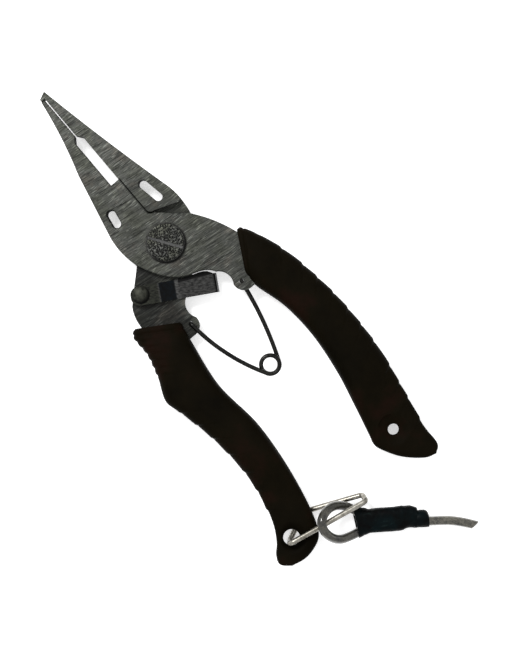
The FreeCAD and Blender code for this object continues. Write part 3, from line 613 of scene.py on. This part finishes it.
def make_sleeve(material):
    """The shrunk tube: flat oval sections along the crimp, open ends with a real wall."""
    start = at(*SLEEVE_START)
    along = Vector(SLEEVE_DIRECTION).normalized()
    across = along.cross(Vector((0, 0, 1))).normalized()
    up = across.cross(along)
    sides, squareness, tube_wall, steps_per_section = 56, 0.72, 0.4, 8

    def ring(distance, width, height, wall):
        """A section, skewed near the mouth and bent to one side before the end. wall draws it in."""
        points = []
        for step in range(sides):
            angle = 2 * math.pi * step / sides
            x = squared(math.cos(angle), squareness) * (width - wall)
            z = squared(math.sin(angle), squareness) * (height - wall)
            skew = 0.9 * (x / width) * (1 - smooth_step(distance, 0.0, 4.0))
            lean = 0.4 * (smooth_step(distance, 18.6, 20.6) - smooth_step(distance, 14.0, 18.0))
            place = start + (along * (distance + skew) + across * (x + lean) + up * z) * MM
            ripple = noise.noise(place * 420.0) * 0.16 + noise.noise(place * 1300.0) * 0.07
            points.append(place + (across * x + up * z).normalized() * (0.0 if wall else ripple * MM))
        return points

    stations = []
    for (d0, w0, h0), (d1, w1, h1) in zip(SLEEVE_SECTIONS, SLEEVE_SECTIONS[1:]):
        for part in range(steps_per_section):
            t = part / steps_per_section
            eased = smooth_step(t, 0.0, 1.0)
            stations.append((d0 + (d1 - d0) * t, w0 + (w1 - w0) * eased, h0 + (h1 - h0) * eased))
    stations.append(SLEEVE_SECTIONS[-1])
    outside = [ring(*station, 0.0) for station in stations]
    inside = [ring(*station, tube_wall) for station in reversed(stations)]
    sleeve = closed_piece("sleeve_skin", outside + inside + [outside[0]], "ring", material)
    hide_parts("shrink_sleeve")
    return sleeve


def make_collar(material):
    """The tube's narrow tail, shrunk round the single strand and set a little to one side."""
    corner = PIVOT + Vector(CORD_ROUTE[STRAND_CORNER])
    along = (PIVOT + Vector(CORD_ROUTE[STRAND_CORNER + 1]) - corner).normalized()
    across = along.cross(Vector((0, 0, 1))).normalized()
    up = across.cross(along)
    sides = 48
    # Sections as (distance from the corner, half width, half height, shift to one side).
    outside = [(0.9, 2.7, 2.3, 0.9), (1.3, 2.85, 2.45, 0.95), (2.6, 2.95, 2.5, 1.0), (3.9, 2.9, 2.45, 0.95),
               (4.6, 2.7, 2.35, 0.75), (5.0, 2.4, 2.2, 0.5), (5.15, 2.1, 2.0, 0.3)]
    bore = [(5.1, 1.72, 1.72, 0.0), (4.0, 1.66, 1.66, 0.0), (0.9, 1.66, 1.66, 0.0)]
    rings = []
    for distance, width, height, shift in outside + bore:
        ring = []
        for step in range(sides):
            angle = 2 * math.pi * step / sides
            offset = across * (width * math.cos(angle) - shift) + up * height * math.sin(angle)
            place = corner + (along * distance + offset) * MM
            ripple = 0.0 if shift == 0.0 else noise.noise(place * 700.0) * 0.14 * MM
            ring.append(place + offset.normalized() * ripple)
        rings.append(ring)
    rings.append(rings[0])
    collar = closed_piece("collar_skin", rings, "ring", material, math.radians(50))
    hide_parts("strand_tube")
    return collar


def closed_piece(name, rings, body, material, angle=math.radians(40)):
    """A piece whose rings run from its outside through its bore and back to the first ring."""
    mesh = loft_mesh(name, rings, caps=False)
    mend(mesh, merge=1e-7)
    shade_smooth(mesh, angle)
    return add_object(name, mesh, body, material)


# ---------------------------------------------------------------- grips


def smooth_chain(points, per_span=24):
    """A smooth line through points in plan, by Catmull-Rom spans."""
    points = [Vector((x, y, 0.0)) for x, y in points]
    padded = [points[0] * 2 - points[1], *points, points[-1] * 2 - points[-2]]
    chain = []
    for before, start, end, after in zip(padded, padded[1:], padded[2:], padded[3:]):
        for step in range(per_span):
            t = step / per_span
            chain.append(0.5 * (2 * start + (end - before) * t
                                + (2 * before - 5 * start + 4 * end - after) * t * t
                                + (3 * start - before - 3 * end + after) * t * t * t))
    chain.append(points[-1])
    return chain


def step_relief(distance, steps):
    """Saw-tooth relief: each moulded step climbs slowly and drops off at its edge."""
    edges = [steps[0] - (steps[1] - steps[0]), *steps]
    for start, end in zip(edges, edges[1:]):
        if start <= distance < end:
            climb = (distance - start) / (end - start)
            drop = 1 - smooth_step(distance, end - 0.9, end)
            return (0.25 + 0.75 * climb) * smooth_step(distance, start, start + 0.8) * drop
    return 0.0


def make_grip(name, node, body, shape, material):
    """A grip lofted between its two outlines, with a rolled lip, moulded steps and a dished hole."""
    stations, sides, squareness = 300, 64, 0.55
    mouth_drop, mouth_length = 0.9, 9.0
    tail_from, tail_to, tip_length = 70.0, 91.0, 3.2
    outer = resample(smooth_chain(shape["outer"]), stations)
    inner = resample(smooth_chain(shape["inner"]), stations)
    outer_length = sum((b - a).length for a, b in zip(outer, outer[1:]))
    rings = []
    for index, (out, inn) in enumerate(zip(outer, inner)):
        distance = outer_length * index / (stations - 1)
        left = outer_length - distance
        middle = (out + inn) / 2
        half = (out - inn) / 2
        height = GRIP_HALF - (GRIP_HALF - TAIL_HALF) * smooth_step(-middle.x, tail_from, tail_to)
        height -= mouth_drop * (1 - smooth_step(distance, 0.0, mouth_length))
        height *= 0.62 + 0.38 * math.sqrt(smooth_step(left, 0.0, tip_length))
        groove = math.exp(-((distance - 2.3) / 0.45) ** 2) * 0.3
        mouth_edge = math.exp(-(distance / 0.45) ** 2) * 0.35
        drawn_in = groove + mouth_edge
        relief = step_relief(distance, shape["steps"])
        ring = []
        for step in range(sides):
            angle = 2 * math.pi * step / sides
            across = squared(math.cos(angle), squareness)
            above = squared(math.sin(angle), squareness)
            raised = relief * smooth_step(across, 0.1, 0.95)
            width = half.length - drawn_in
            outwards = half.normalized() * (across * width + raised * STEP_HEIGHT)
            palm_drop = 0.3 * smooth_step(across, 0.1, 0.8)
            lift = above * (height - drawn_in - palm_drop + 0.3 * raised)
            point = middle + outwards
            ring.append(at(point.x, point.y, lift))
        rings.append(ring)
    mesh = loft_mesh(name, rings)
    grip = add_object(name, mesh)
    cut_hole(grip, shape["hole"], shape["hole_radius"])
    shade_smooth(grip.data, math.radians(50))
    grip.data.materials.append(material)
    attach(grip, body)
    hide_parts(node)


def cut_hole(grip, centre, bore):
    """The lanyard hole: a round bore that opens into a shallow dish on each face."""
    # (radius, height) from above the upper face down to the bore, which the lower half mirrors.
    profile = [(5.6, TAIL_HALF + 0.6), (5.2, TAIL_HALF), (3.9, TAIL_HALF - 0.75),
               (bore + 0.35, TAIL_HALF - 1.15), (bore, TAIL_HALF - 1.6)]
    half_section = profile + [(radius, -height) for radius, height in reversed(profile)]
    sides = 64
    rings = []
    for radius, height in half_section:
        ring = []
        for step in range(sides):
            angle = 2 * math.pi * step / sides
            x = centre[0] + radius * math.cos(angle)
            y = centre[1] + radius * math.sin(angle)
            ring.append(at(x, y, height))
        rings.append(ring)
    mesh = loft_mesh("hole_cutter", rings)
    mend(mesh)
    cutter = add_object("hole_cutter", mesh)
    modifier = grip.modifiers.new("hole", "BOOLEAN")
    modifier.object = cutter
    modifier.solver = "EXACT"
    bpy.context.view_layer.update()
    evaluated = grip.evaluated_get(bpy.context.evaluated_depsgraph_get())
    result = bpy.data.meshes.new_from_object(evaluated)
    grip.modifiers.clear()
    grip.data = result
    bpy.data.objects.remove(cutter)


# ---------------------------------------------------------------- pivot head


def make_head_pattern(material):
    """The pressed pattern of the screw's head: two half discs beside the slot, with a notched rim."""
    top = (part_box("pivot_screw")[1].z - PIVOT.z) / MM
    slot_turn = math.radians(34.0)
    half_slot, rim = 0.45, 6.05
    circles, sectors, notches = 26, 84, 72
    lift, dome, relief = 0.06, 0.3, 0.13
    notch_depth, rim_drop = 0.12, 0.5
    coarse_scale, fine_scale = 1.5, 3.6
    points = []
    faces = []
    for half in (1, -1):
        start = len(points)
        for circle in range(circles + 1):
            share = circle / circles
            at_rim = circle == circles
            for sector in range(sectors + 1):
                angle = math.pi * sector / sectors
                notch = notch_depth * max(0.0, math.sin(angle * notches / 2)) if at_rim else 0.0
                x = (rim * share - notch) * math.cos(angle)
                y = (rim * share - notch) * math.sin(angle) + half_slot
                y = min(y, math.sqrt(max(rim * rim - x * x, 0.0)))
                x, y = x * half, y * half
                coarse = noise.noise(Vector((x * coarse_scale, y * coarse_scale, 4.0)))
                fine = noise.noise(Vector((x * fine_scale, y * fine_scale, 9.0)))
                edge = -rim_drop if at_rim else 0.0
                height = top + lift - dome * share ** 2 + edge + relief * (coarse + 0.6 * fine)
                turned_x = x * math.cos(slot_turn) - y * math.sin(slot_turn)
                turned_y = x * math.sin(slot_turn) + y * math.cos(slot_turn)
                points.append(at(turned_x, turned_y, height))
        row = sectors + 1
        for circle in range(circles):
            for sector in range(sectors):
                corner = start + circle * row + sector
                faces.append((corner, corner + row, corner + row + 1, corner + 1))
    mesh = mesh_from("pivot_head_pattern", points, faces)
    mend(mesh, merge=2e-6, smallest=1e-7)
    shade_smooth(mesh, math.radians(60))
    pattern = add_object("pivot_head_pattern", mesh, "back", material)


# ---------------------------------------------------------------- studio


def make_floor():
    """Plain pale paper with a faint glow, so that it stays white under the tool."""
    size = 3.0
    corners = [(-size, -size, 0), (size, -size, 0), (size, size, 0), (-size, size, 0)]
    mesh = mesh_from("floor", corners, [(0, 1, 2, 3)])
    shader = Shader("floor_paper", Base_Color=(0.93, 0.93, 0.93, 1), Roughness=0.9,
                    Specular_IOR_Level=0.0, Emission_Color=(1, 1, 1, 1), Emission_Strength=0.5)
    floor = add_object("floor", mesh, None, shader.material)
    floor.location.z = -0.0002


def make_light(name, place, size, power):
    """A round area light that shines at the middle of the picture."""
    data = bpy.data.lights.new(name, "AREA")
    data.shape = "DISK"
    data.size = size
    data.energy = power
    light = bpy.data.objects.new(name, data)
    bpy.context.scene.collection.objects.link(light)
    light.location = place
    target = at(*CAMERA_MIDDLE)
    light.rotation_euler = (target - place).to_track_quat("-Z", "Y").to_euler()


def make_studio():
    """A bright overcast sky that is darker near the horizon, and one soft key light."""
    world = bpy.data.worlds.new("studio")
    bpy.context.scene.world = world
    world.use_nodes = True
    tree = world.node_tree
    background = tree.nodes["Background"]
    background.inputs["Strength"].default_value = 0.95
    place = tree.nodes.new("ShaderNodeTexCoord")
    height = tree.nodes.new("ShaderNodeSeparateXYZ")
    ramp = tree.nodes.new("ShaderNodeValToRGB")
    ramp.color_ramp.elements[0].position = 0.02
    ramp.color_ramp.elements[0].color = (0.5, 0.5, 0.5, 1)
    ramp.color_ramp.elements[1].position = 0.45
    ramp.color_ramp.elements[1].color = (1, 1, 1, 1)
    tree.links.new(place.outputs["Generated"], height.inputs[0])
    tree.links.new(height.outputs["Z"], ramp.inputs[0])
    tree.links.new(ramp.outputs["Color"], background.inputs["Color"])
    to_upper_left = Matrix.Rotation(JAWS_TURN, 3, "Z") @ Vector((-0.28, 0.34, 0.7))
    make_light("key", at(*CAMERA_MIDDLE) + to_upper_left, 0.2, 4.0)
    bpy.context.scene.view_settings.view_transform = "Standard"


# ---------------------------------------------------------------- the model


def paint(material, *nodes):
    """Give CAD nodes a better material in place of their packed one."""
    for name in nodes:
        data = frame["nodes"][name].data
        for index in range(max(len(data.materials), 1)):
            if index < len(data.materials):
                data.materials[index] = material
            else:
                data.materials.append(material)


make_camera()
cord, cord_points = make_cord(cord_cover("cord_cover"))
sleeve_plastic = shrink_plastic("shrink_plastic")
sleeve = make_sleeve(sleeve_plastic)
collar = make_collar(sleeve_plastic)

rubber = grip_rubber("grip_rubber_skin")
make_grip("front_grip_skin", "front_grip", "front", FRONT_GRIP, rubber)
make_grip("back_grip_skin", "back_grip", "back", BACK_GRIP, rubber)
make_head_pattern(textured_head("head_steel"))

paint(brushed_steel("front_plate", rgb(22, 23, 21), rgb(77, 78, 74), front_shade), "front_lever")
paint(brushed_steel("back_plate", rgb(22, 23, 21), rgb(77, 78, 74), back_shade), "back_lever")
paint(plain_steel("screw_slot", rgb(44, 44, 44), rgb(92, 92, 91), 0.4, 0.45), "pivot_screw")
paint(plain_steel("dark_steel", rgb(36, 36, 33), rgb(66, 66, 62)), "pivot_nut", "pivot_shim", "lock_spacer")
# The washer carries the painted shadow of the screw's head.
paint(plain_steel("washer_steel_head_shadow", rgb(34, 34, 32), rgb(78, 78, 74), shade=head_shadow_crescent), "head_washer")
paint(lock_strap_steel("lock_strap"), "lock_lever")
paint(plain_steel("rivet_steel", rgb(12, 13, 10), rgb(66, 67, 60), 1.1, 0.5, shade=rivet_shade),
      "lock_rivet")
paint(plain_steel("spring_wire", rgb(22, 22, 21), rgb(46, 46, 44), 0.4, 0.26),
      "return_spring_front", "return_spring_back")
paint(plain_steel("ring_wire_metal", rgb(100, 96, 86), rgb(166, 163, 155), 1.4, 0.27, 1.0), "lanyard_ring")
paint(plain_steel("ferrule_metal", rgb(90, 90, 86), rgb(140, 140, 136)), "crimp_ferrule")

make_floor()
make_studio()
